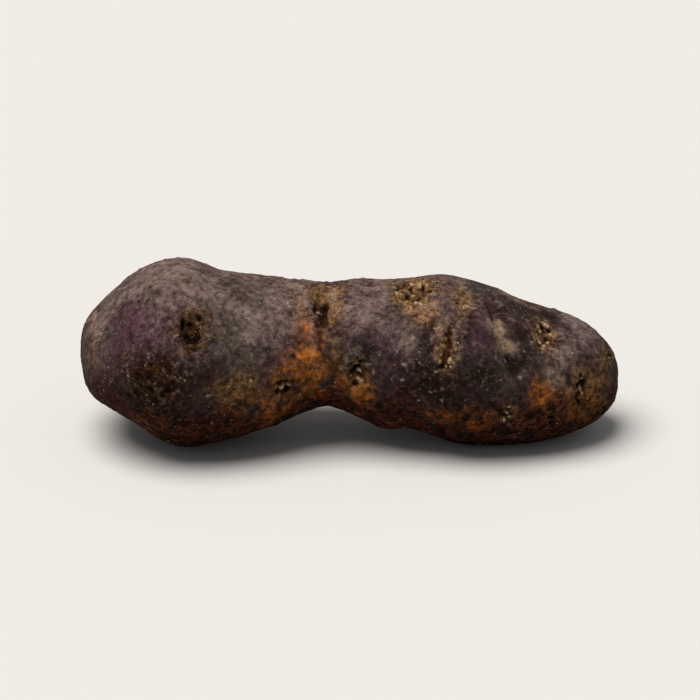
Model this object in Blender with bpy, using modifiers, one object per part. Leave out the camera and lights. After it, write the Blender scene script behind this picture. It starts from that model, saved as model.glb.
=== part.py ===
# Purple potato: one knobbly finger-shaped tuber with two lobes and a waist, lying on the lobes' low points.
# The tuber lies along X, with its rose end at +X and its stem end at -X. Z is up, and the ground is at z = 0.

import bmesh
import bpy
import numpy as np
from mathutils import Vector, noise

MM = 0.001  # sizes below are in millimetres, and the finished mesh is in metres

# Cage of the soft form.
CAGE_SEGMENTS = 5
CAGE_THICKNESS = 46.0
SUBDIVISION_LEVELS = 4

# Round ends: how far each one reaches from its tip before the section has its full size.
LEFT_TIP = -51.0
RIGHT_TIP = 51.3
LEFT_CAP = 16.0
RIGHT_CAP = 14.0

# Sections of the tuber: place along the length, half-width, half-height, height of the middle.
SECTIONS = (
    (LEFT_TIP, 18.6, 16.4, 17.6),
    (-46.0, 18.5, 14.6, 17.5),
    (-41.0, 19.0, 15.0, 18.6),
    (-37.0, 19.1, 16.7, 18.5),
    (-31.5, 18.7, 17.6, 18.3),
    (-24.0, 17.6, 15.9, 18.0),
    (-15.0, 15.4, 14.2, 18.4),
    (-9.0, 13.7, 12.5, 19.1),
    (-4.0, 12.8, 11.9, 19.4),
    (1.0, 14.0, 13.3, 18.7),
    (6.0, 15.2, 14.1, 17.6),
    (12.0, 15.6, 14.1, 17.5),
    (21.0, 16.6, 15.5, 16.6),
    (28.0, 16.2, 14.9, 15.4),
    (36.0, 14.4, 13.0, 14.2),
    (43.0, 12.9, 11.6, 13.9),
    (RIGHT_TIP, 12.4, 11.4, 12.0),
)

# Place along the length, sideways shift of the section's middle: the tuber is slightly bowed.
BOW = ((LEFT_TIP, 0.2), (-31.0, -1.4), (-4.0, 1.4), (24.0, -0.8), (42.0, 0.9), (RIGHT_TIP, 2.2))

# Broad lumps and hollows: place along the length, angle round the body, radius, height.
# Angles run from 0 at the front (-Y) over 90 on top to 180 at the back.
LUMPS = (
    (-44.0, 40.0, 9.0, -0.7),
    (-49.0, 5.0, 8.0, 0.9),
    (-42.0, 285.0, 8.0, -1.1),
    (-34.0, 75.0, 9.0, 0.7),
    (-35.0, 5.0, 9.0, 0.4),
    (-22.0, 20.0, 8.0, 0.5),
    (-37.0, 160.0, 10.0, 0.9),
    (-24.0, 190.0, 9.0, -0.8),
    (-16.0, 130.0, 8.0, 0.6),
    (-8.0, 215.0, 8.0, -0.7),
    (4.0, 20.0, 7.0, 0.7),
    (5.0, 165.0, 8.0, 0.9),
    (11.0, 260.0, 8.0, -0.6),
    (13.0, 95.0, 8.0, 0.5),
    (17.0, 205.0, 8.0, -0.6),
    (26.0, 60.0, 7.0, 0.6),
    (27.0, 5.0, 8.0, 0.5),
    (27.0, 170.0, 9.0, 1.0),
    (38.0, 85.0, 7.0, -0.6),
    (39.0, 215.0, 8.0, -0.7),
    (44.0, 25.0, 6.0, 0.6),
    (46.0, 140.0, 7.0, 0.6),
)

# Eyes: place, angle, half-size along the tuber, half-size round it, depth of the pit, height of the brow.
EYES = (
    (-29.4, 39.0, 2.2, 2.8, 2.0, 0.6),
    (-36.0, 7.0, 2.6, 2.6, 0.6, 0.2),
    (-5.8, 57.0, 1.4, 3.2, 1.5, 0.5),
    (-12.9, -8.0, 1.7, 1.9, 1.4, 0.5),
    (1.5, 5.0, 2.0, 2.3, 1.6, 0.55),
    (12.1, 78.0, 2.3, 2.5, 0.8, 0.35),
    (21.0, 73.0, 1.4, 2.8, 0.5, 0.2),
    (18.2, 33.0, 1.5, 3.9, 1.6, 0.6),
    (36.8, 62.0, 2.1, 3.0, 1.3, 0.5),
    (49.0, 80.0, 1.6, 1.9, 1.0, 0.4),
    (43.7, 9.0, 2.0, 2.4, 1.1, 0.4),
    (29.6, -12.0, 1.7, 1.9, 1.1, 0.4),
    (38.1, -17.0, 1.5, 1.6, 0.9, 0.3),
    (-38.0, 148.0, 2.2, 3.0, 1.9, 0.7),
    (-24.0, 222.0, 2.0, 2.6, 1.5, 0.55),
    (-11.0, 128.0, 1.6, 3.0, 1.5, 0.5),
    (1.0, 205.0, 1.9, 2.8, 1.6, 0.6),
    (10.0, 292.0, 1.8, 2.4, 1.2, 0.45),
    (14.0, 158.0, 1.9, 3.0, 1.6, 0.6),
    (24.0, 228.0, 1.8, 2.8, 1.4, 0.5),
    (31.0, 122.0, 1.8, 2.6, 1.4, 0.5),
    (37.0, 178.0, 1.8, 2.6, 1.4, 0.5),
    (43.0, 243.0, 1.6, 2.0, 1.1, 0.4),
    (46.5, 152.0, 1.6, 2.0, 1.1, 0.4),
    (48.6, 322.0, 1.5, 1.7, 1.0, 0.35),
)
EYE_REACH = 2.5  # how far the skin round a pit belongs to it, in its half-size round the tuber
BROW_OFFSET = 1.3  # in half-sizes of the pit, from its middle towards the stem end
BROW_ARCH = 0.35
BROW_THICKNESS = 0.6
BROW_LENGTH = 1.3

# Stem scar at the stem end: its place and angle, then the radius and depth of the dimple,
# and the radius and height of the stub in it.
STEM_PLACE = (-50.2, 165.0)
STEM_DIMPLE = (3.2, 1.3)
STEM_STUB = (1.1, 1.2)

# Crease that runs down the front of the waist.
CREASE_PLACE = -4.6
CREASE_LEAN = 0.045  # millimetres along the tuber for each degree round it
CREASE_ANGLES = (8.0, 68.0)
CREASE_FADE = 12.0
CREASE_HALF_WIDTH = 1.2
CREASE_DEPTH = 0.55

# Step along and round the skin, in millimetres and in degrees, from which its directions are worked out.
FRAME_STEP = 0.05

# Irregular swelling of the whole skin, as layers of noise: size of a swell, height.
SWELLS = ((18.0, 1.0), (8.5, 0.45), (4.5, 0.16))

# The low points of both lobes are worn to flat spots by this much.
FLAT_DEPTH = 0.8

SKIN_COLOUR = (0.052, 0.030, 0.043, 1.0)
SKIN_ROUGHNESS = 0.75


def clear_scene():
    for thing in list(bpy.data.objects):
        bpy.data.objects.remove(thing, do_unlink=True)


def skin_material():
    material = bpy.data.materials.new("potato_skin")
    material.use_nodes = True
    shader = material.node_tree.nodes["Principled BSDF"]
    shader.inputs["Base Color"].default_value = SKIN_COLOUR
    shader.inputs["Roughness"].default_value = SKIN_ROUGHNESS
    shader.inputs["Metallic"].default_value = 0.0
    return material


def smooth_curve(knots, places):
    """Cubic through the knots (place, value), with a slope at each that leads to its neighbours."""
    knot_places, values = np.array(knots, float).T
    slopes = np.gradient(values, knot_places)
    gap = np.clip(np.searchsorted(knot_places, places, side="right") - 1, 0, len(values) - 2)
    width = knot_places[gap + 1] - knot_places[gap]
    part = np.clip((places - knot_places[gap]) / width, 0.0, 1.0)
    rise = part * part * (3.0 - 2.0 * part)
    leave = part * (1.0 - part) ** 2
    arrive = -part * part * (1.0 - part)
    start, end = values[gap], values[gap + 1]
    bend = leave * slopes[gap] + arrive * slopes[gap + 1]
    return start + (end - start) * rise + bend * width


def end_cap(distance, reach):
    """Share of the full radius at a distance from a tip: a quarter of an ellipse."""
    left = np.clip(1.0 - distance / reach, 0.0, 1.0)
    return np.sqrt(1.0 - left * left)


def skin_points(places, angles):
    """Points of the plain skin, without lumps and eyes."""
    places = np.asarray(places, float)
    angles = np.radians(angles)
    half_width, half_height, middle = (
        smooth_curve([(section[0], section[column]) for section in SECTIONS], places)
        for column in (1, 2, 3)
    )
    closing = end_cap(places - LEFT_TIP, LEFT_CAP) * end_cap(RIGHT_TIP - places, RIGHT_CAP)
    across = smooth_curve(BOW, places) - half_width * closing * np.cos(angles)
    up = middle + half_height * closing * np.sin(angles)
    return np.stack([places, across, up], axis=-1)


def skin_frame(place, angle):
    """A point of the plain skin with its outward, lengthwise and roundwise directions."""
    point = skin_points(place, angle)
    lengthwise = skin_points(place + FRAME_STEP, angle) - skin_points(place - FRAME_STEP, angle)
    lengthwise = lengthwise / np.linalg.norm(lengthwise)
    roundwise = skin_points(place, angle + FRAME_STEP) - skin_points(place, angle - FRAME_STEP)
    outward = np.cross(lengthwise, roundwise)
    outward = outward / np.linalg.norm(outward)
    return point, outward, lengthwise, np.cross(outward, lengthwise)


def bell(distance, reach):
    return np.exp(-((distance / reach) ** 2))


def lump_heights(points):
    total = np.zeros(len(points))
    for place, angle, radius, height in LUMPS:
        centre = skin_points(place, angle)
        total += height * bell(np.linalg.norm(points - centre, axis=1), radius)
    return total


def eye_heights(points):
    """A pit for each eye, and the arched brow that stands over it."""
    total = np.zeros(len(points))
    for place, angle, half_long, half_round, depth, brow in EYES:
        centre, outward, lengthwise, roundwise = skin_frame(place, angle)
        offset = points - centre
        near = bell(offset @ outward, EYE_REACH * half_round)
        along = offset @ lengthwise / half_long
        around = offset @ roundwise / half_round
        pit = bell(along, 1.0) * bell(around, 1.0)
        ridge_line = along + BROW_OFFSET - BROW_ARCH * around * around
        ridge = bell(ridge_line, BROW_THICKNESS) * bell(around, BROW_LENGTH)
        total += near * (brow * ridge - depth * pit)
    return total


def stem_heights(points):
    distance = np.linalg.norm(points - skin_points(*STEM_PLACE), axis=1)
    dimple_radius, dimple_depth = STEM_DIMPLE
    stub_radius, stub_height = STEM_STUB
    return stub_height * bell(distance, stub_radius) - dimple_depth * bell(distance, dimple_radius)


def crease_heights(points, angles):
    first, last = CREASE_ANGLES
    middle = 0.5 * (first + last)
    outside = np.clip(np.abs(angles - middle) - 0.5 * (last - first), 0.0, None)
    line = CREASE_PLACE - CREASE_LEAN * (angles - middle)
    return -CREASE_DEPTH * bell(outside, CREASE_FADE) * bell(points[:, 0] - line, CREASE_HALF_WIDTH)


def swell_heights(points):
    total = np.zeros(len(points))
    for size, height in SWELLS:
        total += height * np.array([noise.noise(Vector(point / size)) for point in points])
    return total


def soft_cage():
    """A box in a few segments, rounded into an even net of quads."""
    length = RIGHT_TIP - LEFT_TIP
    net = bmesh.new()
    bmesh.ops.create_cube(net, size=1.0)
    bmesh.ops.scale(net, vec=(length, CAGE_THICKNESS, CAGE_THICKNESS), verts=net.verts)
    long_edges = [edge for edge in net.edges if edge.verts[0].co.x * edge.verts[1].co.x < 0.0]
    bmesh.ops.subdivide_edges(net, edges=long_edges, cuts=CAGE_SEGMENTS - 1, use_grid_fill=True)
    mesh = bpy.data.meshes.new("potato_cage")
    net.to_mesh(mesh)
    net.free()
    cage = bpy.data.objects.new("potato_cage", mesh)
    bpy.context.scene.collection.objects.link(cage)
    rounding = cage.modifiers.new("rounding", "SUBSURF")
    rounding.levels = SUBDIVISION_LEVELS
    rounding.render_levels = SUBDIVISION_LEVELS
    rounded = bpy.data.meshes.new_from_object(cage.evaluated_get(bpy.context.evaluated_depsgraph_get()))
    bpy.data.objects.remove(cage, do_unlink=True)
    bpy.data.meshes.remove(mesh)
    return rounded


def read_vectors(items, name):
    values = np.empty(len(items) * 3, np.float32)
    items.foreach_get(name, values)
    return values.reshape(-1, 3).astype(float)


def write_points(mesh, points):
    mesh.vertices.foreach_set("co", points.astype(np.float32).ravel())
    mesh.update()


def settle(points):
    """Levels the low points of the lobes, wears each to a flat spot and puts the origin under the middle."""
    left = points[points[:, 0] < 0.0]
    right = points[points[:, 0] > 0.0]
    low_left = left[left[:, 2].argmin()]
    low_right = right[right[:, 2].argmin()]
    slope = (low_right[2] - low_left[2]) / (low_right[0] - low_left[0])
    ground = low_left[2] + slope * (points[:, 0] - low_left[0]) + FLAT_DEPTH
    settled = points.copy()
    settled[:, 2] = np.maximum(points[:, 2] - ground, 0.0)
    settled[:, :2] -= 0.5 * (settled[:, :2].min(axis=0) + settled[:, :2].max(axis=0))
    return settled


def make_potato():
    mesh = soft_cage()
    mesh.name = "potato"
    rounded = read_vectors(mesh.vertices, "co")
    share = rounded[:, 0] / np.abs(rounded[:, 0]).max()
    places = 0.5 * (LEFT_TIP + RIGHT_TIP) + 0.5 * (RIGHT_TIP - LEFT_TIP) * share
    angles = np.degrees(np.arctan2(rounded[:, 2], -rounded[:, 1]))
    plain = skin_points(places, angles)
    write_points(mesh, plain)
    outward = read_vectors(mesh.vertex_normals, "vector")
    heights = lump_heights(plain) + swell_heights(plain)
    heights += eye_heights(plain) + stem_heights(plain) + crease_heights(plain, angles)
    write_points(mesh, settle(plain + heights[:, None] * outward) * MM)
    mesh.shade_smooth()
    mesh.materials.append(skin_material())
    return bpy.data.objects.new("potato", mesh)


def main():
    clear_scene()
    collection = bpy.data.collections.new("purple_potato")
    bpy.context.scene.collection.children.link(collection)
    collection.objects.link(make_potato())


main()
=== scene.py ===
# A dark purple finger potato, unwashed, lying on a pale floor in soft studio light.
import math
import bmesh
import bpy
import numpy as np
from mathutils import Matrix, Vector, noise
from mathutils.bvhtree import BVHTree


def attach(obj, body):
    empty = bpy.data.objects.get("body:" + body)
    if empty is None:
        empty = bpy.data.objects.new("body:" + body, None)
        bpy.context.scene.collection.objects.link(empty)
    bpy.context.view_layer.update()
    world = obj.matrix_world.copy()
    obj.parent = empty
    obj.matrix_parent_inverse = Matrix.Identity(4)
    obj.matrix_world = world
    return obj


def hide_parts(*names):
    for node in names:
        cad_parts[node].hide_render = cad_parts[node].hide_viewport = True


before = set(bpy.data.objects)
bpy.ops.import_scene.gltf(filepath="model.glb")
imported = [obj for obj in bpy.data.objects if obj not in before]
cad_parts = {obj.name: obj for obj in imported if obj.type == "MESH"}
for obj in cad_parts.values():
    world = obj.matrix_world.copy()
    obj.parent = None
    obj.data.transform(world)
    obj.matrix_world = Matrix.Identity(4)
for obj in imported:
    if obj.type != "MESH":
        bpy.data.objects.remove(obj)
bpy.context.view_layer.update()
mm = 0.001  # sizes below are in millimetres unless a note says otherwise
print("frame loaded")


class Wire:
    # one output socket in a node tree; + - * on it add the Math nodes
    def __init__(self, tree, socket=None):
        self.tree = tree
        self.socket = socket

    def node(self, kind, settings, values, output=0):
        # a node's settings go in first, then the values or links of its sockets
        made = self.tree.nodes.new(kind)
        for name, setting in settings.items():
            setattr(made, name, setting)
        for name, value in values.items():
            if isinstance(value, Wire):
                self.tree.links.new(value.socket, made.inputs[name])
            else:
                made.inputs[name].default_value = value
        return Wire(self.tree, made.outputs[output])

    def beside(self, output):
        # another output of the same node
        return Wire(self.tree, self.socket.node.outputs[output])

    def maths(self, operation, first, second):
        return self.node("ShaderNodeMath", {"operation": operation}, {0: first, 1: second})

    def __add__(self, other):
        return self.maths("ADD", self, other)

    def __sub__(self, other):
        return self.maths("SUBTRACT", self, other)

    def __rsub__(self, other):
        return self.maths("SUBTRACT", other, self)

    def __mul__(self, other):
        return self.maths("MULTIPLY", self, other)

    __radd__ = __add__
    __rmul__ = __mul__


def fade(value, low, high):
    # 0 below low, 1 above high, soft in between
    limits = {0: value, 1: low, 2: high, 3: 0.0, 4: 1.0}
    return value.node("ShaderNodeMapRange", {"interpolation_type": "SMOOTHSTEP"}, limits)


def blend(share, under, over):
    # a colour between two others
    return share.node("ShaderNodeMix", {"data_type": "RGBA"}, {0: share, 6: under, 7: over}, 2)


def mottle(place, size, detail=3.0, rough=0.55, warp=0.0, low=0.36, high=0.64):
    # cloudy noise from 0 to 1, with clouds of the given size
    values = {"Vector": place, "Scale": 1.0 / size, "Detail": detail, "Roughness": rough, "Distortion": warp}
    return fade(place.node("ShaderNodeTexNoise", {"noise_dimensions": "3D"}, values), low, high)


def cells(place, size, feature="F1", output=0):
    # distances in a pattern of cells of the given size; output 1 gives each cell its own value
    values = {"Vector": place, "Scale": 1.0 / size}
    return place.node("ShaderNodeTexVoronoi", {"feature": feature}, values, output)


def mark(wire, name):
    # a mask that was painted on the mesh
    return wire.node("ShaderNodeAttribute", {"attribute_name": name}, {}, 2)


def newMaterial(name):
    material = bpy.data.materials.new(name)
    material.use_nodes = True
    tree = material.node_tree
    start = Wire(tree)
    coordinates = start.node("ShaderNodeTexCoord", {}, {}, 3)
    place = start.node("ShaderNodeVectorMath", {"operation": "SCALE"}, {0: coordinates, 3: 1.0 / mm})
    return material, tree.nodes["Principled BSDF"], place


def connect(wire, shader, name):
    wire.tree.links.new(wire.socket, shader.inputs[name])


# Camera, light and floor

studio = {
    "target": (0.0, 0.0, 17.7),
    "elevation": 22.8,  # degrees above the horizon
    "distance": 1080.0,
    "lens": 293.0,  # on a 36 mm wide sensor
    "floorSize": 40.0,  # metres
    "floorColour": (0.50, 0.485, 0.46),
    "backColour": (0.86, 0.86, 0.86),  # what the camera sees past the floor
    "skyLight": (0.33, 0.335, 0.35),
    "keyPower": 4.7,
    "keyAngle": 46.0,  # degrees; a wide source, so shadows are soft
    "keyFrom": (-0.30, -0.12, 1.0),
    "keyColour": (1.0, 0.985, 0.96),
}


def makeCamera():
    data = bpy.data.cameras.new("camera")
    data.lens = studio["lens"]
    camera = bpy.data.objects.new("camera", data)
    target = Vector(studio["target"]) * mm
    rise = math.radians(studio["elevation"])
    away = Vector((0.0, -math.cos(rise), math.sin(rise)))
    camera.location = target + away * studio["distance"] * mm
    camera.rotation_euler = away.to_track_quat("Z", "Y").to_euler()
    bpy.context.scene.collection.objects.link(camera)
    bpy.context.scene.camera = camera


def makeLight():
    data = bpy.data.lights.new("keyLight", "SUN")
    data.energy = studio["keyPower"]
    data.angle = math.radians(studio["keyAngle"])
    data.color = studio["keyColour"]
    light = bpy.data.objects.new("keyLight", data)
    light.rotation_euler = Vector(studio["keyFrom"]).to_track_quat("Z", "Y").to_euler()
    bpy.context.scene.collection.objects.link(light)
    world = bpy.data.worlds.new("studio")
    world.use_nodes = True
    nodes = world.node_tree.nodes
    start = Wire(world.node_tree)
    seen = start.node("ShaderNodeLightPath", {}, {}, 0)
    sky = (*studio["skyLight"], 1.0)
    back = (*studio["backColour"], 1.0)
    connect(blend(seen, sky, back), nodes["Background"], "Color")
    bpy.context.scene.world = world


def makeFloor():
    half = 0.5 * studio["floorSize"]
    mesh = bpy.data.meshes.new("floor")
    corners = [(-half, -half, 0.0), (half, -half, 0.0), (half, half, 0.0), (-half, half, 0.0)]
    mesh.from_pydata(corners, [], [(0, 1, 2, 3)])
    floor = bpy.data.objects.new("floor", mesh)
    bpy.context.scene.collection.objects.link(floor)
    material, shader, _ = newMaterial("paleFloor")
    shader.inputs["Base Color"].default_value = (*studio["floorColour"], 1.0)
    shader.inputs["Roughness"].default_value = 0.9
    shader.inputs["Specular IOR Level"].default_value = 0.2
    mesh.materials.append(material)


makeCamera()
makeLight()
makeFloor()
bpy.context.scene.view_settings.view_transform = "Standard"
print("camera, light and floor ready")


# The skin's mesh: a finer copy of the node, worked on with arrays of points in millimetres

skinNet = {
    "mergeDistance": 0.001,
    "joinLimit": 0.9,  # radians; triangle pairs flatter than this become quads
    "levels": 2,
    "sectionStep": 1.0,
    "sectionReach": 1.2,  # points so near to a section count as part of it
}


def skinCopy():
    net = bmesh.new()
    net.from_mesh(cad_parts["potato"].data)
    bmesh.ops.remove_doubles(net, verts=net.verts, dist=skinNet["mergeDistance"] * mm)
    limit = skinNet["joinLimit"]
    bmesh.ops.join_triangles(net, faces=net.faces, angle_face_threshold=limit, angle_shape_threshold=limit)
    mesh = bpy.data.meshes.new("coarseSkin")
    net.to_mesh(mesh)
    net.free()
    coarse = bpy.data.objects.new("coarseSkin", mesh)
    bpy.context.scene.collection.objects.link(coarse)
    smoothing = coarse.modifiers.new("smoothing", "SUBSURF")
    smoothing.levels = skinNet["levels"]
    smoothing.render_levels = skinNet["levels"]
    fine = bpy.data.meshes.new_from_object(coarse.evaluated_get(bpy.context.evaluated_depsgraph_get()))
    bpy.data.objects.remove(coarse, do_unlink=True)
    fine.name = "potatoSkin"
    return fine


def readVectors(items, name):
    values = np.empty(len(items) * 3, np.float32)
    items.foreach_get(name, values)
    return values.reshape(-1, 3).astype(float)


def writePoints(mesh, points):
    mesh.vertices.foreach_set("co", (points * mm).astype(np.float32).ravel())
    mesh.update()


def paint(mesh, name, values):
    layer = mesh.attributes.new(name, "FLOAT", "POINT")
    layer.data.foreach_set("value", np.clip(values, 0.0, 1.0).astype(np.float32))


def bell(distance, reach):
    return np.exp(-((distance / reach) ** 2))


def softStep(low, high, values):
    part = np.clip((values - low) / (high - low), 0.0, 1.0)
    return part * part * (3.0 - 2.0 * part)


def clouds(points, size, seed, octaves=1):
    # smooth noise, about -1 to 1, with clouds of the given size; each octave is half as large and high
    total = np.zeros(len(points))
    for octave in range(octaves):
        moved = points * (2 ** octave / size) + (17.3 * seed + 5.1 * octave)
        total += np.array([noise.noise(point) for point in moved.tolist()]) * 0.5 ** octave
    return total


skinMesh = skinCopy()
skinPoints = readVectors(skinMesh.vertices, "co") / mm
skinNormals = readVectors(skinMesh.vertex_normals, "vector")
skinEdges = np.empty(len(skinMesh.edges) * 2, np.int32)
skinMesh.edges.foreach_get("vertices", skinEdges)
skinEdges = skinEdges.reshape(-1, 2)
skinTree = BVHTree.FromPolygons(skinPoints.tolist(), [tuple(face.vertices) for face in skinMesh.polygons])
print("skin net:", len(skinPoints), "points")


def measureSections():
    # the middle and the half-size of the potato's cross-section, every so far along it
    step = skinNet["sectionStep"]
    places = np.arange(skinPoints[:, 0].min() + step, skinPoints[:, 0].max(), step)
    rows = []
    for place in places:
        ring = skinPoints[np.abs(skinPoints[:, 0] - place) < skinNet["sectionReach"]][:, 1:]
        lowest = ring.min(axis=0)
        highest = ring.max(axis=0)
        rows.append(np.concatenate([highest + lowest, highest - lowest]) / 2)
    return places, np.array(rows)


sectionPlaces, sectionRows = measureSections()


def spot(place, angle):
    # a point of the skin, with its outward, lengthwise and roundwise directions
    # angles run from 0 at the front over 90 on top to 180 at the back
    middleY, middleZ, halfY, halfZ = (np.interp(place, sectionPlaces, row) for row in sectionRows.T)
    turn = math.radians(angle)
    middle = Vector((place, middleY, middleZ))
    aim = Vector((0.0, -halfY * math.cos(turn), halfZ * math.sin(turn))).normalized()
    point, outward, _, _ = skinTree.ray_cast(middle, aim)
    roundwise = Vector((1.0, 0.0, 0.0)).cross(outward).normalized() * -1.0
    lengthwise = roundwise.cross(outward)
    return np.array(point), np.array(outward), np.array(lengthwise), np.array(roundwise)


def patch(place, angle, halfLong, halfRound):
    # an oval on the skin, 1 in its middle and fading out at its half-sizes
    centre, outward, lengthwise, roundwise = spot(place, angle)
    offset = skinPoints - centre
    near = bell(offset @ outward, 2.0 * max(halfLong, halfRound))
    square = (offset @ lengthwise / halfLong) ** 2 + (offset @ roundwise / halfRound) ** 2
    return near * np.exp(-(square ** 1.5))


def spread(values, rounds):
    # evens values out over the net, further with each round
    first, second = skinEdges.T
    count = np.bincount(skinEdges.ravel(), minlength=len(skinPoints))[:, None]
    table = values.reshape(len(skinPoints), -1)
    for _ in range(rounds):
        total = np.zeros_like(table)
        for column in range(table.shape[1]):
            total[:, column] += np.bincount(first, table[second, column], len(skinPoints))
            total[:, column] += np.bincount(second, table[first, column], len(skinPoints))
        table = total / count
    return table.reshape(values.shape)


# Relief of the skin: eyes, cracks, grains and fine wrinkles

eyes = {
    # place, angle, half-size along and round, extra depth, holes, crumbs, how pale these are, bud
    "list": (
        (-29.8, 38, 2.8, 3.9, 0.50, 4, 9, 0.2, 0.0),
        (-36.2, 7, 3.6, 3.4, 0.15, 7, 6, 0.1, 0.0),
        (-5.9, 58, 1.3, 2.8, 0.40, 1, 1, 0.3, 0.7),
        (-12.9, -8, 1.7, 2.0, 0.40, 3, 4, 0.6, 0.8),
        (1.7, 6, 2.1, 2.6, 0.35, 6, 4, 0.8, 0.8),
        (12.0, 80, 3.6, 4.2, 0.12, 10, 16, 0.9, 0.0),
        (21.2, 73, 1.3, 3.4, 0.10, 1, 4, 0.7, 0.0),
        (18.2, 31, 1.9, 3.9, 0.30, 3, 12, 0.8, 0.0),
        (36.2, 63, 1.6, 3.8, 0.25, 5, 13, 1.0, 0.0),
        (48.4, 84, 1.6, 1.9, 0.45, 2, 4, 0.6, 0.0),
        (43.3, 11, 2.4, 2.8, 0.25, 5, 6, 0.6, 0.0),
        (29.4, -14, 1.6, 1.8, 0.35, 3, 3, 0.9, 0.7),
        (37.9, -17, 1.3, 1.4, 0.40, 2, 1, 0.2, 0.0),
        (-38.0, 148, 2.6, 3.4, 0.30, 7, 5, 0.4, 0.6),
        (-24.2, 220, 2.2, 2.8, 0.30, 5, 4, 0.6, 0.8),
        (-11.1, 129, 1.6, 2.9, 0.40, 3, 4, 0.5, 0.5),
        (1.1, 205, 2.1, 2.9, 0.35, 6, 4, 0.8, 1.0),
        (10.0, 290, 1.8, 2.3, 0.30, 3, 2, 0.3, 0.0),
        (14.0, 161, 2.2, 3.1, 0.30, 5, 8, 0.7, 0.0),
        (24.3, 230, 1.9, 2.8, 0.30, 4, 4, 0.9, 1.0),
        (30.8, 121, 2.0, 2.8, 0.25, 4, 8, 0.7, 0.0),
        (37.0, 178, 1.9, 2.7, 0.30, 4, 4, 0.7, 0.7),
        (43.0, 242, 1.6, 2.0, 0.30, 3, 2, 0.4, 0.0),
        (46.0, 153, 1.6, 2.0, 0.30, 3, 4, 0.8, 0.0),
        (48.2, 320, 1.4, 1.6, 0.30, 2, 2, 0.5, 0.0),
    ),
    # the largest holes in them: place, angle, half-size along and round, depth
    "caves": (
        (-29.6, 34, 1.7, 1.1, 0.9), (-31.0, 42, 0.6, 1.3, 0.6), (-29.2, 26, 0.9, 0.5, 0.4),
        (-28.0, 48, 0.7, 1.0, 0.35), (-4.9, 54, 0.5, 1.3, 0.7), (-12.0, -9, 0.9, 1.2, 0.6),
        (0.4, 3, 0.4, 0.9, 0.4), (41.2, 22, 0.7, 1.5, 0.3),
    ),
    "tear": 0.9,  # how ragged they are
    "tearSize": 1.1,
    "darkness": 1.6,  # painted shade in the caves, darker for each millimetre of their depth
    "seed": 300,
    "reach": 3.4,  # in half-sizes
    "ragged": 0.6,
    "raggedSize": 1.7,
    "holeRadius": (0.3, 0.65),
    "holeDepth": 0.75,
    "crumbRadius": (0.3, 0.55),
    "crumbHeight": 0.4,
    "stretch": (0.75, 1.35),  # of the holes and crumbs
    "apart": 0.75,
    "budRadius": 0.6,
    "budHeight": 0.6,
    "roughSize": 1.2,
    "roughHeight": 0.5,
    "rimPlace": 1.2,  # in half-sizes from the middle, as are the two places below
    "rimHeight": 0.14,
    "browPlace": 1.25,
    "browHeight": 0.24,
    "wrinklePlace": 1.45,
    "wrinkles": 9.0,  # round each eye
    "wrinkleHeight": 0.07,
}


def drawSpots(chance, count, halfLong, halfRound):
    # places in an oval, kept apart from each other
    kept = []
    for _ in range(60 * count):
        place = chance.uniform(-1.0, 1.0, 2)
        trial = place * (halfLong, halfRound)
        free = all(np.linalg.norm(trial - other) > eyes["apart"] for other in kept)
        if len(kept) < count and np.linalg.norm(place) < 1.0 and free:
            kept.append(trial)
    return kept


def stamp(mask, places, values):
    mask[places] = np.maximum(mask[places], values)


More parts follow.
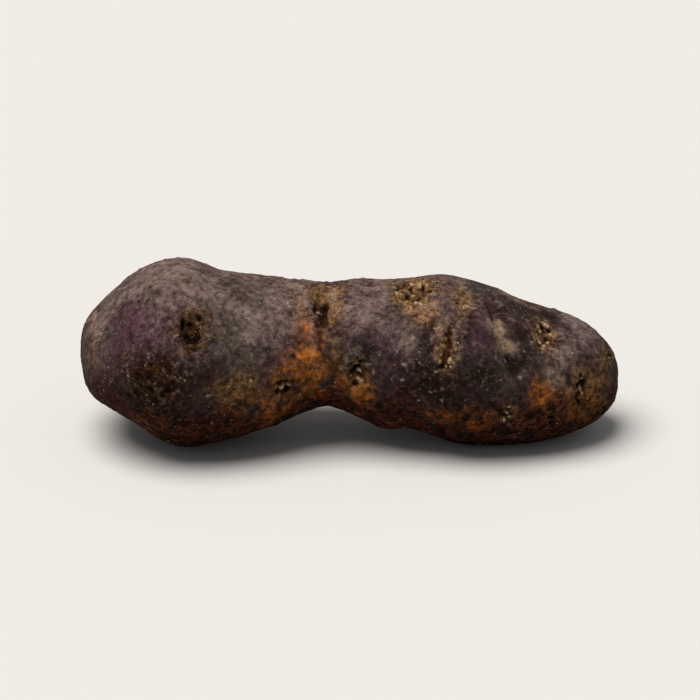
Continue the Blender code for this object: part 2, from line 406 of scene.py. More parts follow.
def eyeRelief():
    # adds ragged pits with holes and crumbs to the hollows that the net has, and returns their masks too
    relief = np.zeros(len(skinPoints))
    masks = {name: np.zeros(len(skinPoints)) for name in ("crust", "pit", "crumb", "bud", "rim", "glow")}
    for number, row in enumerate(eyes["list"]):
        place, angle, halfLong, halfRound, depth, holes, crumbs, glow, bud = row
        centre, _, lengthwise, roundwise = spot(place, angle)
        reach = eyes["reach"] * max(halfLong, halfRound)
        near = np.flatnonzero(np.linalg.norm(skinPoints - centre, axis=1) < reach)
        offset = skinPoints[near] - centre
        flat = np.stack([offset @ lengthwise, offset @ roundwise], axis=1)
        along, around = (flat / (halfLong, halfRound)).T
        warp = clouds(skinPoints[near], eyes["raggedSize"], seed=number, octaves=2)
        distance = np.hypot(along, around) * (1.0 + eyes["ragged"] * warp)
        strength = min(1.0, depth + 0.25)
        # the pit with its rough floor and its rim
        inside = 1.0 - softStep(0.25, 1.1, distance)
        bump = -depth * inside + eyes["rimHeight"] * bell(distance - eyes["rimPlace"], 0.3) * strength
        rough = clouds(skinPoints[near], eyes["roughSize"], seed=40 + number, octaves=2)
        bump += eyes["roughHeight"] * inside * rough
        # a brow on one side of it, and wrinkles that run out from it
        brow = bell(along + eyes["browPlace"] - 0.3 * around ** 2, 0.3) * bell(around, 1.1) * (1.0 + warp)
        bump += eyes["browHeight"] * brow * strength
        fan = np.sin(np.arctan2(around, along) * eyes["wrinkles"] + number + 2.0 * warp)
        bump += eyes["wrinkleHeight"] * fan * bell(distance - eyes["wrinklePlace"], 0.45) * strength
        # holes first, then crumbs, and the bud in the middle
        chance = np.random.default_rng(eyes["seed"] + number)
        for count, dot in enumerate(drawSpots(chance, holes + crumbs, halfLong, halfRound)):
            stretch = chance.uniform(*eyes["stretch"])
            gap = np.hypot((flat[:, 0] - dot[0]) * stretch, (flat[:, 1] - dot[1]) / stretch)
            gap *= 1.0 + eyes["ragged"] * warp
            if count < holes:
                hole = bell(gap, chance.uniform(*eyes["holeRadius"]))
                bump -= eyes["holeDepth"] * strength * hole
                stamp(masks["pit"], near, hole)
            else:
                crumb = bell(gap, chance.uniform(*eyes["crumbRadius"]))
                bump += eyes["crumbHeight"] * crumb
                stamp(masks["crumb"], near, crumb)
        tip = bud * bell(np.hypot(*flat.T) * (1.0 + 0.35 * warp), eyes["budRadius"])
        bump += eyes["budHeight"] * tip
        relief[near] += bump
        stamp(masks["bud"], near, tip)
        stamp(masks["crust"], near, 1.0 - softStep(0.7, 1.4, distance))
        stamp(masks["rim"], near, strength * bell(distance - 1.25, 0.35))
        stamp(masks["glow"], near, glow * (1.0 - softStep(1.2, 2.0, distance)))
    torn = 1.0 + eyes["tear"] * clouds(skinPoints, eyes["tearSize"], seed=58, octaves=2)
    # the caves are cut, then painted with shade that is darker the deeper they are
    for place, angle, halfLong, halfRound, depth in eyes["caves"]:
        cave = np.clip(patch(place, angle, halfLong, halfRound) * torn, 0.0, 1.0)
        relief -= depth * cave
        masks["pit"] = np.maximum(masks["pit"], cave * min(1.0, eyes["darkness"] * depth))
    return relief, masks


cracks = {
    # half-width, depth, and the line's (place, angle)
    "lines": (
        (0.28, 0.22, ((-6.3, 50), (-6.2, 40), (-5.8, 30), (-5.4, 20), (-4.8, 6))),
        (0.5, 0.65, ((-4.8, 67), (-4.6, 60), (-4.8, 50), (-5.3, 42))),
        (0.36, 0.45, ((18.7, 50), (18.2, 42), (18.5, 33), (17.8, 26), (17.9, 18))),
        (0.24, 0.16, ((25.4, 76), (26.4, 66), (26.9, 54))),
        (0.24, 0.16, ((26.4, 66), (28.4, 71))),
        (0.3, 0.22, ((-6.0, 122), (-5.0, 140), (-6.5, 165), (-5.5, 190))),
        (0.28, 0.2, ((22.0, 200), (23.5, 186), (22.8, 172))),
        (0.26, 0.2, ((-41.0, 214), (-39.5, 204), (-40.5, 192))),
    ),
    "step": 0.04,  # in knots of the line
    "waver": 0.45,
    "waverSize": 2.2,
    "lip": 0.3,  # a share of the depth
    "lipPlace": 2.4,  # in half-widths from the line
    "reach": 25.0,
}


def crackRelief():
    relief = np.zeros(len(skinPoints))
    inside = np.zeros(len(skinPoints))
    for width, depth, line in cracks["lines"]:
        knots = np.array(line, float)
        shares = np.arange(0.0, len(knots) - 1, cracks["step"])
        index = np.arange(len(knots))
        places = np.interp(shares, index, knots[:, 0])
        angles = np.interp(shares, index, knots[:, 1])
        path = np.array([spot(place, angle)[0] for place, angle in zip(places, angles)])
        path[:, 0] += cracks["waver"] * clouds(path, cracks["waverSize"], seed=61, octaves=2)
        close = np.flatnonzero(np.linalg.norm(skinPoints - path.mean(axis=0), axis=1) < cracks["reach"])
        gaps = np.linalg.norm(skinPoints[close, None, :] - path[None, :, :], axis=2)
        distance = gaps.min(axis=1)
        share = gaps.argmin(axis=1) / len(path)
        taper = np.clip(np.sin(np.pi * share) * 1.8, 0.0, 1.0) ** 0.5
        relief[close] -= depth * taper * bell(distance, width)
        relief[close] += cracks["lip"] * depth * taper * bell(distance - cracks["lipPlace"] * width, width)
        stamp(inside, close, taper * bell(distance, 1.3 * width))
    return relief, inside


grit = {
    # single pale grains that are stuck to the skin: place, angle, radius
    "list": (
        (-17.0, 66, 0.36), (-19.4, 56, 0.28), (-19.1, 42, 0.3), (-18.3, 25, 0.26), (-17.1, 12, 0.3),
        (-18.5, 6, 0.42), (-0.8, 66, 0.36), (4.5, 10, 0.3), (-20.8, 0, 0.28), (-25.2, -10, 0.28),
        (10.0, 17, 0.38), (13.1, 26, 0.32), (13.1, 19, 0.26), (16.1, 14, 0.4), (18.5, 22, 0.36),
        (15.0, -2, 0.32), (12.2, -8, 0.24), (12.9, -13, 0.28), (17.3, -7, 0.3), (5.1, 3, 0.24),
        (33.6, 73, 0.38), (36.3, 79, 0.32), (35.1, 69, 0.36), (36.1, 60, 0.4), (32.7, 41, 0.38),
        (31.8, 19, 0.26), (43.4, 0, 0.3), (43.8, 22, 0.34), (-37.4, 21, 0.3), (-28.0, 21, 0.26),
        (-30.4, 78, 0.26), (-33.8, 75, 0.24), (-30.9, 7, 0.26), (-26.3, 74, 0.3),
    ),
    "guessed": 60,  # more of them on the back and underside
    "ends": 46.0,
    "angles": (100, 340),
    "radii": (0.22, 0.38),
    "seed": 23,
    "ragged": 0.9,
    "raggedSize": 0.9,
    "height": 0.22,
}


def gritRelief():
    chance = np.random.default_rng(grit["seed"])
    rows = list(grit["list"])
    for _ in range(grit["guessed"]):
        place = chance.uniform(-grit["ends"], grit["ends"])
        rows.append((place, chance.uniform(*grit["angles"]), chance.uniform(*grit["radii"])))
    grains = np.zeros(len(skinPoints))
    warp = 1.0 + grit["ragged"] * clouds(skinPoints, grit["raggedSize"], seed=55, octaves=2)
    for place, angle, radius in rows:
        distance = np.linalg.norm(skinPoints - spot(place, angle)[0], axis=1)
        grains = np.maximum(grains, bell(distance * warp, radius))
    return grit["height"] * grains, grains


skinRelief = {
    # size of the clouds, height
    "lumps": ((8.0, 0.15), (5.0, 0.2), (2.6, 0.12), (1.3, 0.06)),
    "netSize": 2.1,
    "netHeight": 0.06,
    "scabSize": 1.0,
    "scabHeight": 0.2,
    "flatFade": (0.1, 1.2),  # heights between which the relief starts
    # how often the skin is evened out to find its hollows, near by and further round, and what faces up
    "nearRounds": 14,
    "wideRounds": 90,
    "upwardRounds": 20,
    "stainSize": 3.4,
    "soilShadeTop": 23.0,  # height at which the soil and painted shade below end
    "soilShadeFromAbove": 6.0,  # how much further down it ends where the skin faces up
    "waveSize": 9.0,
    "waveHeight": 5.0,  # of the upper edge of the soil and painted shade
    "dustAndLightSize": 8.0,
    "dustAndLightAlong": ((-12.0, 4.0, 18.0, 32.0), (1.0, 0.65, 0.58, 0.4)),  # places, share of the dust and painted top light there; the smaller share towards the right end is painted shadow
    "sprinkleSize": 6.0,
    "crumbFade": (1.2, 3.0),  # heights between which the crumbs start
}

# Stains, dust with painted top light, and dark patches with painted shade and shadow: place, angle,
# half-size along, half-size round, strength
stains = {
    "rust": (
        (-8.0, 4, 4.0, 4.2, 1.0), (-12.5, -2, 4.2, 3.4, 0.6), (-7.0, 12, 2.4, 3.6, 0.9),
        (-9.0, -16, 5.4, 4.2, 0.4), (36.0, 9, 2.8, 2.8, 0.8), (1.0, -10, 4.0, 3.4, 0.9),
        (-14.0, -26, 4.5, 4.0, 0.5), (14.0, 61, 2.2, 2.4, 0.3), (22.0, -22, 7.0, 3.0, 0.3),
        (43.6, -10, 3.4, 4.0, 0.6), (-20.0, -16, 5.0, 3.0, 0.12), (-37.0, -28, 6.0, 3.4, 0.05),
        (-11.4, 6, 3.0, 3.4, 0.7), (-5.6, 24, 1.2, 4.0, 0.6), (-8.2, 30, 1.8, 4.4, 0.7),
        (-10.0, 200, 5.0, 4.5, 0.8), (20.0, 172, 5.0, 4.0, 0.7), (-33.0, 202, 6.0, 4.0, 0.6),
        (38.0, 215, 5.0, 4.0, 0.7), (6.0, 240, 6.0, 4.0, 0.7), (-8.0, 250, 6.0, 5.0, 0.7),
    ),
    "ochre": (
        (-2.8, 68, 2.2, 6.0, 1.0), (-3.6, 48, 1.8, 6.0, 0.8), (-9.6, 60, 1.8, 6.0, 0.4),
        (-5.8, 80, 3.0, 3.6, 0.9), (43.8, -7, 3.4, 4.0, 0.8),
        (-21.7, 0, 5.5, 3.2, 0.8), (-15.5, -6, 3.0, 3.0, 0.55), (11.9, 78, 4.4, 4.4, 1.0),
        (13.5, 60, 3.4, 3.2, 0.8), (21.1, 72, 2.0, 5.0, 1.0), (30.5, 108, 4.0, 2.4, 1.0),
        (12.6, 94, 4.6, 3.4, 0.8), (17.8, 30, 1.9, 4.4, 0.6), (45.6, 6, 3.4, 5.0, 0.9),
        (36.2, 63, 3.0, 4.2, 0.8), (43.3, 11, 4.4, 4.6, 0.9), (48.6, 60, 2.2, 5.0, 0.8),
        (48.0, 20, 3.0, 5.0, 0.6), (-48.5, 50, 2.0, 7.0, 0.25), (-28.5, 49, 2.2, 2.0, 0.4),
        (-11.0, 129, 4.0, 5.0, 0.8), (14.0, 161, 4.0, 5.0, 0.8), (30.8, 121, 4.0, 4.5, 0.7),
        (-38.0, 160, 4.5, 5.0, 0.6), (1.1, 210, 4.0, 4.5, 0.8), (24.3, 230, 3.5, 4.0, 0.7),
    ),
    "olive": (
        (-21.0, 50, 8.0, 13.0, 1.0), (-20.0, 92, 8.0, 9.0, 0.8), (-48.0, 62, 3.0, 8.0, 0.7),
        (29.5, 40, 3.6, 6.0, 0.9), (41.0, 42, 4.0, 6.0, 0.6), (6.0, 56, 5.0, 5.0, 0.6),
        (-20.0, 150, 8.0, 10.0, 0.9), (24.0, 150, 9.0, 9.0, 0.8), (44.0, 200, 5.0, 8.0, 0.7),
    ),
    "violet": (
        (-40.5, 36, 7.5, 7.0, 1.0), (6.0, 44, 5.0, 7.0, 0.8), (23.0, 48, 4.0, 6.0, 0.8),
        (-13.0, 44, 4.0, 6.0, 0.6), (40.5, 66, 4.0, 6.0, 0.7), (-30.0, 172, 9.0, 9.0, 0.8),
        (30.0, 190, 8.0, 8.0, 0.8), (6.0, 132, 6.0, 7.0, 0.8),
    ),
    # dark patches, partly real; those at the upper right end are painted shadow, and the broad ones low on
    # the front are painted shade
    "dark": (
        (-36.8, 8, 7.0, 6.0, 1.0), (-2.6, 5, 2.2, 5.0, 0.9), (16.0, 8, 8.0, 5.0, 1.0),
        (25.0, 14, 5.0, 6.0, 0.8), (31.0, 32, 3.6, 4.0, 0.8), (41.0, 2, 1.4, 4.0, 0.9),
        (2.4, 24, 3.0, 4.0, 0.8), (-27.0, 14, 5.0, 5.0, 0.7), (31.0, 78, 4.0, 4.0, 0.5),
        (37.5, 90, 4.5, 4.0, 0.9), (-45.0, -16, 6.0, 5.0, 0.5), (-28.0, 250, 9.0, 8.0, 0.9),
        (34.0, 60, 12.0, 13.0, 0.65), (20.0, 0, 16.0, 8.0, 0.5), (-24.0, -6, 8.0, 7.0, 0.5),
        (-37.0, -10, 11.0, 5.0, 0.8), (8.2, 74, 1.5, 5.0, 0.8), (30.6, 30, 3.4, 3.6, 1.0),
        (32.4, 60, 2.0, 5.0, 1.0), (22.0, 24, 2.4, 3.0, 0.8), (10.5, 2, 3.0, 3.0, 0.5),
        (-29.5, 34, 4.2, 5.0, 0.8), (14.8, 36, 2.0, 6.0, 1.0), (26.0, 70, 3.0, 2.4, 0.6),
        (22.5, 56, 3.6, 3.4, 0.6), (-27.0, 38, 3.0, 4.5, 1.0), (21.2, 36, 1.6, 5.0, 0.9),
        (15.0, 215, 7.0, 6.0, 0.9), (36.0, 240, 6.0, 6.0, 0.8), (-14.0, 176, 4.0, 5.0, 0.7),
    ),
    "scab": (
        (-36.0, 6, 8.5, 6.0, 1.0), (18.0, 9, 6.0, 4.0, 0.7), (8.0, 26, 3.0, 3.0, 0.4),
        (43.0, -4, 4.0, 4.0, 0.3), (-26.0, 236, 6.0, 5.0, 0.9), (16.0, 222, 5.0, 5.0, 0.8),
    ),
    "dust_and_top_light": (
        (-33.0, 86, 10.0, 9.0, 0.5), (43.0, 88, 4.5, 6.0, 0.8), (40.0, 70, 2.6, 3.0, 0.6),
        (5.0, 88, 7.0, 6.0, 0.4), (32.0, 22, 1.2, 3.2, 0.6), (40.5, 46, 2.6, 4.0, 0.8),
        (24.0, 60, 3.0, 4.0, 0.5), (-30.0, 128, 8.0, 6.0, 0.4), (22.0, 128, 8.0, 6.0, 0.4),
        (2.0, 62, 3.6, 5.0, 0.5), (26.5, 56, 1.8, 2.6, 0.8), (-17.0, 52, 6.0, 5.0, 0.5),
        (10.2, 34, 2.6, 5.0, 0.25), (38.4, 22, 2.0, 2.6, 0.7),
    ),
    "tan": (
        (28.0, 52, 1.5, 2.0, 0.9), (29.6, 41, 2.3, 1.4, 0.8), (21.2, 73, 1.3, 4.4, 1.0),
        (20.9, 61, 1.0, 1.6, 0.5), (30.6, 99, 2.8, 1.1, 1.0), (33.6, 96, 2.2, 0.8, 0.8),
        (-28.4, 48, 1.4, 1.1, 0.5), (16.9, 42, 0.7, 2.6, 0.7), (19.4, 40, 0.5, 2.0, 0.5),
        (-3.2, 72, 1.1, 3.4, 0.6), (-6.9, 34, 0.6, 4.5, 0.5), (43.6, 26, 1.2, 1.0, 0.7),
        (14.2, 62, 2.4, 2.2, 0.6), (-21.0, 146, 2.0, 2.6, 0.6), (8.0, 150, 1.4, 3.0, 0.7),
        (33.0, 196, 2.2, 1.6, 0.7), (-40.0, 186, 1.8, 2.4, 0.6), (26.0, 262, 2.0, 1.6, 0.5),
        (38.2, 26, 1.8, 2.2, 0.6), (10.6, 38, 1.6, 3.0, 0.3),
    ),
}


def stain(name, seed):
    total = np.zeros(len(skinPoints))
    for place, angle, halfLong, halfRound, strength in stains[name]:
        total = np.maximum(total, strength * patch(place, angle, halfLong, halfRound))
    return total * (1.0 + 0.5 * clouds(skinPoints, skinRelief["stainSize"], seed, octaves=2))


def wholeRelief():
    # all of the relief together, and the masks that come with it
    eyeHeights, masks = eyeRelief()
    crackHeights, masks["crack"] = crackRelief()
    gritHeights, masks["grit"] = gritRelief()
    for row, name in enumerate(stains):
        masks[name] = stain(name, 70 + row)
    relief = eyeHeights + crackHeights + gritHeights
    for row, (size, height) in enumerate(skinRelief["lumps"]):
        relief += height * clouds(skinPoints, size, seed=80 + row)
    netting = 1.0 - np.abs(clouds(skinPoints, skinRelief["netSize"], seed=90, octaves=2)) * 3.0
    relief += skinRelief["netHeight"] * np.clip(netting, 0.0, 1.0)
    rough = clouds(skinPoints, skinRelief["scabSize"], seed=91, octaves=2)
    relief += skinRelief["scabHeight"] * rough * np.clip(masks["scab"] + 0.7 * masks["crust"], 0.0, 1.0)
    relief *= softStep(*skinRelief["flatFade"], skinPoints[:, 2])
    return relief, masks


def dirtAndPaintedLightMasks(masks, wideHollow):
    # dust and painted top light on what faces up, soil and painted shade below and in wide hollows, and
    # where the loose crumbs and grains lie
    upward = spread(skinNormals, skinRelief["upwardRounds"])[:, 2]
    waves = skinRelief["waveHeight"] * clouds(skinPoints, skinRelief["waveSize"], seed=92, octaves=2)
    level = skinPoints[:, 2] + waves + skinRelief["soilShadeFromAbove"] * upward
    low = 1.0 - softStep(0.0, skinRelief["soilShadeTop"], level)
    drifts = clouds(skinPoints, skinRelief["dustAndLightSize"], seed=93, octaves=2)
    # painted top light, counted in with the dust: lighter where the skin faces up
    topDustAndLight = softStep(0.1, 1.0, upward) * (0.6 + 0.7 * drifts)
    topDustAndLight *= np.interp(skinPoints[:, 0], *skinRelief["dustAndLightAlong"])
    bare = (1.0 - 0.8 * masks["crust"]) * (1.0 - 0.5 * masks["violet"])
    bare *= 1.0 - 0.5 * np.clip(masks["dark"], 0.0, 1.0)
    masks["dust_and_top_light"] = np.clip(masks["dust_and_top_light"] + topDustAndLight, 0.0, 1.0) * bare
    # painted shade together with real soil: darker towards the bottom, where the skin faces down, and in
    # wide hollows
    masks["soil_and_shade"] = np.clip(low + softStep(0.1, 0.5, wideHollow) * 0.4, 0.0, 1.0)
    above = softStep(*skinRelief["crumbFade"], skinPoints[:, 2])
    sprinkle = softStep(-0.1, 0.5, clouds(skinPoints, skinRelief["sprinkleSize"], seed=94, octaves=2))
    rough = 0.04 + 0.8 * masks["crust"] + 0.1 * masks["soil_and_shade"] + 0.35 * masks["scab"]
    masks["crumbs"] = above * np.clip(rough, 0.0, 1.0)
    masks["specks"] = above * np.clip(0.1 + 0.45 * sprinkle + 0.6 * masks["glow"], 0.0, 1.0)


def dressSkin():
    # moves the points by the relief and paints the masks that the materials read
    global skinPoints
    relief, masks = wholeRelief()
    moved = skinPoints + relief[:, None] * skinNormals
    moved[:, 2] = np.maximum(moved[:, 2], 0.0)
    # how far each point lies below the evened skin, near by and further round it
    hollow = np.einsum("ij,ij->i", spread(moved, skinRelief["nearRounds"]) - moved, skinNormals)
    wideHollow = np.einsum("ij,ij->i", spread(moved, skinRelief["wideRounds"]) - moved, skinNormals)
    # the hollow mask darkens the skin in its hollows as painted shade
    masks["hollow"] = softStep(0.02, 0.2, hollow)
    # the knolls get a painted highlight in the skin colour
    masks["knoll"] = softStep(0.01, 0.12, -hollow)
    skinPoints = moved
    writePoints(skinMesh, skinPoints)
    dirtAndPaintedLightMasks(masks, wideHollow)
    for name, values in masks.items():
        paint(skinMesh, name, values)


dressSkin()
print("skin relief and masks done")


# Materials

skinColours = {
    "purple": (0.048, 0.024, 0.026),
    "slate": (0.046, 0.034, 0.029),
    "dusk": (0.015, 0.008, 0.007),
    "violet": (0.050, 0.020, 0.032),
    "night": (0.008, 0.005, 0.004),
    # the dust's colour, which also serves as painted top light
    "dust_and_top_light": (0.112, 0.076, 0.058),
    "lilac": (0.104, 0.072, 0.068),
    "olive": (0.068, 0.050, 0.037),
    # the low skin's red-brown: soil, with painted shade and a painted warm reflection
    "soil_and_shade": (0.051, 0.0095, 0.003),
    "gash": (0.032, 0.010, 0.005),
    "umber": (0.013, 0.005, 0.003),
    "rust": (0.325, 0.096, 0.012),
    "ochre": (0.145, 0.078, 0.028),
    "crust": (0.068, 0.026, 0.008),
    "tan": (0.160, 0.108, 0.070),
    "gold": (0.240, 0.135, 0.044),
    "cream": (0.420, 0.315, 0.220),
    "net": (0.120, 0.080, 0.055),
    "pale": (0.240, 0.185, 0.140),
    # near-black: painted shade in the holes, and the pores and dark spots
    "pit": (0.004, 0.002, 0.001),
}


def tone(name):
    return (*skinColours[name], 1.0)


skinPattern = {
    # sizes of the clouds
    "broad": 11.0,
    "wide": 5.0,
    "middle": 2.4,
    "small": 1.0,
    "grain": 0.4,
    "paleSpots": 1.5,
    "darkSpots": 1.9,
    # sizes of the cells
    "webs": 1.6,
    "scabs": 0.9,
    "flecks": 1.5,
    "dots": 1.3,
    "pores": 1.7,
    "bumpHeight": 0.12,
}


def skinMaterial():
    material, shader, place = newMaterial("potatoSkin")
    broad = mottle(place, skinPattern["broad"], 3.0, 0.5, 0.4)
    wide = mottle(place, skinPattern["wide"], 3.0, 0.55, 0.5, 0.3, 0.7)
    middle = mottle(place, skinPattern["middle"], 4.0, 0.6, 0.5, 0.3, 0.7)
    small = mottle(place, skinPattern["small"], 3.0, 0.6, 0.3, 0.3, 0.7)
    grain = mottle(place, skinPattern["grain"], 2.0, 0.6)
    speckled = wide * 0.25 + middle * 0.4 + small * 0.25 + grain * 0.1
    # the bare skin and its dark patches, some of them painted shade and shadow
    colour = blend(broad, tone("purple"), tone("slate"))
    colour = blend(mark(place, "violet") * (0.5 + wide * 0.5), colour, tone("violet"))
    colour = blend(mark(place, "olive") * (0.3 + speckled * 0.7), colour, tone("olive"))
    colour = blend(fade(wide * 0.55 + middle * 0.45, 0.4, 0.9) * 0.8, colour, tone("dusk"))
    # dark patches, partly painted shade and shadow
    dark = fade(mark(place, "dark") * 0.8 + speckled * 0.45, 0.25, 1.1)
    colour = blend(dark * 0.95, colour, tone("night"))
    # dust and painted top light on top, soil and painted shade below, and the stains
    # dust with painted light: lighter where the skin faces up, and a painted highlight on the knolls
    dust_and_top_light = fade(mark(place, "dust_and_top_light") * 0.8 + speckled * 0.6 + mark(place, "knoll") * 0.15, 0.38, 1.2)
    colour = blend(dust_and_top_light, colour, blend(wide, tone("dust_and_top_light"), tone("lilac")))
    # the low skin is dark red-brown: soil, with painted shade and a painted warm reflection
    earthAndShade = blend(fade(middle * 0.6 + small * 0.4, 0.3, 0.75), tone("umber"), tone("soil_and_shade"))
    colour = blend(fade(mark(place, "soil_and_shade") * 0.9 + wide * 0.25, 0.2, 0.95) * 0.95, colour, earthAndShade)
    ochre = mark(place, "ochre") * (0.25 + speckled * 1.1)
    colour = blend(ochre, colour, blend(small, tone("crust"), tone("ochre")))
    rust = mark(place, "rust") * (0.35 + speckled * 1.1)
    colour = blend(rust, colour, blend(middle * 0.6 + small * 0.4, tone("crust"), tone("rust")))
    colour = blend(mark(place, "tan") * (0.3 + speckled * 1.1), colour, tone("tan"))
    # fine webs, the crust in the eyes with its rim, and scabs
    webs = 1 - fade(cells(place, skinPattern["webs"], "DISTANCE_TO_EDGE"), 0.02, 0.1)
    colour = blend(webs * wide * small * 0.4, colour, tone("net"))
    crusty = mark(place, "crust") * fade(small * 0.6 + grain * 0.4, 0.2, 0.7)
    rim = blend(mark(place, "glow") * (0.3 + middle), tone("crust"), tone("ochre"))
    colour = blend(crusty * 0.9, colour, rim)
    worn = fade(small * 0.7 + grain * 0.3, 0.45, 0.8)
    colour = blend(mark(place, "rim") * worn * 0.5, colour, tone("net"))
    scab = mark(place, "scab") * (0.4 + fade(cells(place, skinPattern["scabs"]), 0.2, 0.6) * 0.6)
    colour = blend(scab * 0.85, colour, tone("umber"))
    flecks = mark(place, "scab") * (1 - fade(cells(place, skinPattern["flecks"]), 0.14, 0.34))
    colour = blend(flecks * 0.55, colour, tone("net"))
    # painted shade in the hollows and holes, and the cracks
    # painted shade in the hollows
    colour = blend(mark(place, "hollow") * 0.55, colour, tone("umber"))
    # painted shade: the holes and caves are filled with near-black
    colour = blend(fade(mark(place, "pit") + small * 0.25, 0.35, 0.9), colour, tone("pit"))
    colour = blend(mark(place, "crack") * 0.85, colour, tone("gash"))
    # pale dots on some of the cells, pores, and small spots of both kinds
    dots = 1 - fade(cells(place, skinPattern["dots"]), 0.08, 0.16)
    chance = fade(cells(place, skinPattern["dots"], "F1", 1), 0.6, 0.7)
    colour = blend(dots * chance * 0.5, colour, tone("pale"))
    paleSpots = mottle(place, skinPattern["paleSpots"], 3.0, 0.6, 0.5, 0.66, 0.74)
    colour = blend(paleSpots * 0.6, colour, tone("pale"))
    pores = 1 - fade(cells(place, skinPattern["pores"]), 0.1, 0.22)
    colour = blend(pores * middle * 0.7, colour, tone("pit"))
    darkSpots = mottle(place, skinPattern["darkSpots"], 3.0, 0.6, 0.6, 0.64, 0.74)
    colour = blend(darkSpots * 0.7, colour, tone("pit"))
    # lighter and darker patches over all of it, and painted shade that darkens the low skin, then what lies
    # on top
    patchy = 0.07 + wide * 0.28 + middle * 0.6 + small * 0.7 + grain * 0.27
    shade = patchy * (1 - mark(place, "soil_and_shade") * 0.38)
    colour = colour.node("ShaderNodeVectorMath", {"operation": "SCALE"}, {0: colour, 3: shade})
    crumbTone = blend(mark(place, "glow") * small, tone("gold"), tone("cream"))
    crumb = fade(mark(place, "crumb") * (0.4 + mark(place, "glow") * 0.6), 0.3, 0.8)
    colour = blend(crumb * 0.85, colour, crumbTone)
    budTone = blend(mark(place, "glow"), tone("lilac"), tone("cream"))
    colour = blend(fade(mark(place, "bud"), 0.3, 0.7), colour, budTone)
    colour = blend(fade(mark(place, "grit"), 0.3, 0.8) * (0.35 + small * 0.5), colour, tone("pale"))
    connect(colour, shader, "Base Color")
    connect(0.75 + dust_and_top_light * 0.2, shader, "Roughness")
    height = grain * 0.3 + small * 0.6 + middle * 0.6
    values = {"Height": height, "Strength": 0.6, "Distance": skinPattern["bumpHeight"] * mm}
    bump = height.node("ShaderNodeBump", {}, values)
    connect(bump, shader, "Normal")
    shader.inputs["Specular IOR Level"].default_value = 0.02
    return material


def addPiece(name, mesh):
    # a finished piece, which rides on the body and takes the node's place
    mesh.shade_smooth()
    piece = bpy.data.objects.new(name, mesh)
    bpy.context.scene.collection.objects.link(piece)
    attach(piece, "root")
    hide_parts("potato")
    print(name, len(mesh.polygons), "faces")


skinMesh.materials.clear()
skinMesh.materials.append(skinMaterial())
addPiece("potatoSkin", skinMesh)


# Crumbs of soil and pale grains, scattered over the skin by Geometry Nodes

looseGrains = {
    # amount to a square millimetre, smallest and largest radius; flat and sink are shares of the radius
    "soilCrumbs": {
        "mask": "crumbs", "amount": 0.9, "small": 0.07, "large": 0.24, "flat": 0.65, "sink": 0.25, "seed": 3,
        "dark": (0.013, 0.005, 0.003), "middle": (0.055, 0.022, 0.008), "light": (0.17, 0.10, 0.045),
    },
    "paleGrains": {
        "mask": "specks", "amount": 0.26, "small": 0.05, "large": 0.16, "flat": 0.5, "sink": 0.3, "seed": 8,
        "dark": (0.11, 0.075, 0.055), "middle": (0.22, 0.17, 0.13), "light": (0.48, 0.42, 0.36),
    },
}


def grainMaterial(name, colours):
    material, shader, place = newMaterial(name)
    shade = mark(place, "tone")
    colour = blend(fade(shade, 0.0, 0.7), (*colours["dark"], 1.0), (*colours["middle"], 1.0))
    colour = blend(fade(shade, 0.75, 1.0), colour, (*colours["light"], 1.0))
    connect(colour, shader, "Base Color")
    shader.inputs["Roughness"].default_value = 0.85
    shader.inputs["Specular IOR Level"].default_value = 0.15
    return material


def draw(wire, low, high, seed):
    # a random number for each grain
    values = {2: low, 3: high, "Seed": seed}
    return wire.node("FunctionNodeRandomValue", {"data_type": "FLOAT"}, values, 1)


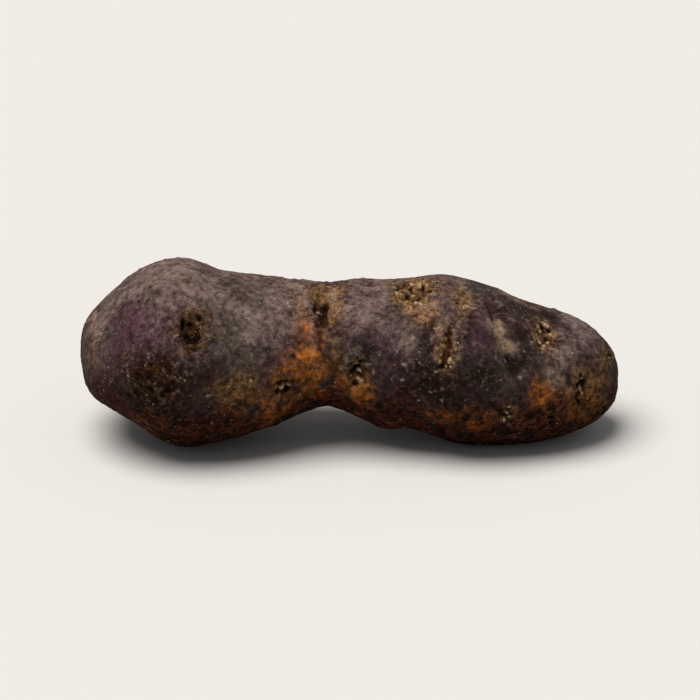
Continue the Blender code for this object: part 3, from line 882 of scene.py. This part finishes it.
def scatterTree(name, settings, material):
    tree = bpy.data.node_groups.new(name, "GeometryNodeTree")
    face = tree.interface
    face.new_socket("Geometry", in_out="INPUT", socket_type="NodeSocketGeometry")
    for label in ("Amount", "Smallest", "Largest"):
        face.new_socket(label, in_out="INPUT", socket_type="NodeSocketFloat")
    face.new_socket("Geometry", in_out="OUTPUT", socket_type="NodeSocketGeometry")
    seed = settings["seed"]
    start = Wire(tree)
    source = start.node("NodeGroupInput", {}, {})
    mask = start.node("GeometryNodeInputNamedAttribute", {}, {"Name": settings["mask"]})
    values = {"Mesh": source, "Density": mask * source.beside("Amount"), "Seed": seed}
    points = start.node("GeometryNodeDistributePointsOnFaces", {}, values)
    # one grain: a dented ball of radius 1, pressed flat and sunk into the skin
    ball = start.node("GeometryNodeMeshIcoSphere", {}, {"Radius": 1.0, "Subdivisions": 2})
    lump = start.node("ShaderNodeTexNoise", {}, {"Scale": 1.3}, "Color")
    dent = start.node("ShaderNodeVectorMath", {"operation": "SUBTRACT"}, {0: lump, 1: (0.5, 0.5, 0.5)})
    grain = start.node("GeometryNodeSetPosition", {}, {"Geometry": ball, "Offset": dent})
    values = {"Scale": (1.0, 1.0, settings["flat"]), "Translation": (0.0, 0.0, -settings["sink"])}
    grain = start.node("GeometryNodeTransform", {}, {"Geometry": grain, **values})
    # the grains on their points, each with its own size, turn and tone
    size = draw(start, source.beside("Smallest"), source.beside("Largest"), seed + 1)
    spin = start.node("ShaderNodeCombineXYZ", {}, {"Z": draw(start, 0.0, 2.0 * math.pi, seed + 2)})
    values = {0: points.beside("Rotation"), 1: spin}
    turned = start.node("FunctionNodeRotateRotation", {"rotation_space": "LOCAL"}, values)
    values = {"Points": points, "Instance": grain, "Rotation": turned, "Scale": size}
    grains = start.node("GeometryNodeInstanceOnPoints", {}, values)
    values = {"Geometry": grains, "Name": "tone", "Value": draw(start, 0.0, 1.0, seed + 3)}
    kind = {"data_type": "FLOAT", "domain": "INSTANCE"}
    grains = start.node("GeometryNodeStoreNamedAttribute", kind, values)
    grains = start.node("GeometryNodeRealizeInstances", {}, {"Geometry": grains})
    grains = start.node("GeometryNodeSetMaterial", {}, {"Geometry": grains, "Material": material})
    tree.links.new(grains.socket, tree.nodes.new("NodeGroupOutput").inputs["Geometry"])
    return tree


def scatter(name, settings):
    material = grainMaterial(name, settings)
    tree = scatterTree(name, settings, material)
    carrier = bpy.data.objects.new("carrier", skinMesh.copy())
    bpy.context.scene.collection.objects.link(carrier)
    modifier = carrier.modifiers.new("scatter", "NODES")
    modifier.node_group = tree
    sizes = {"Smallest": settings["small"] * mm, "Largest": settings["large"] * mm}
    sizes["Amount"] = settings["amount"] / mm ** 2
    for item in tree.interface.items_tree:
        if item.name in sizes:
            modifier[item.identifier] = sizes[item.name]
    mesh = bpy.data.meshes.new_from_object(carrier.evaluated_get(bpy.context.evaluated_depsgraph_get()))
    bpy.data.objects.remove(carrier, do_unlink=True)
    mesh.name = name
    addPiece(name, mesh)


for name, settings in looseGrains.items():
    scatter(name, settings)
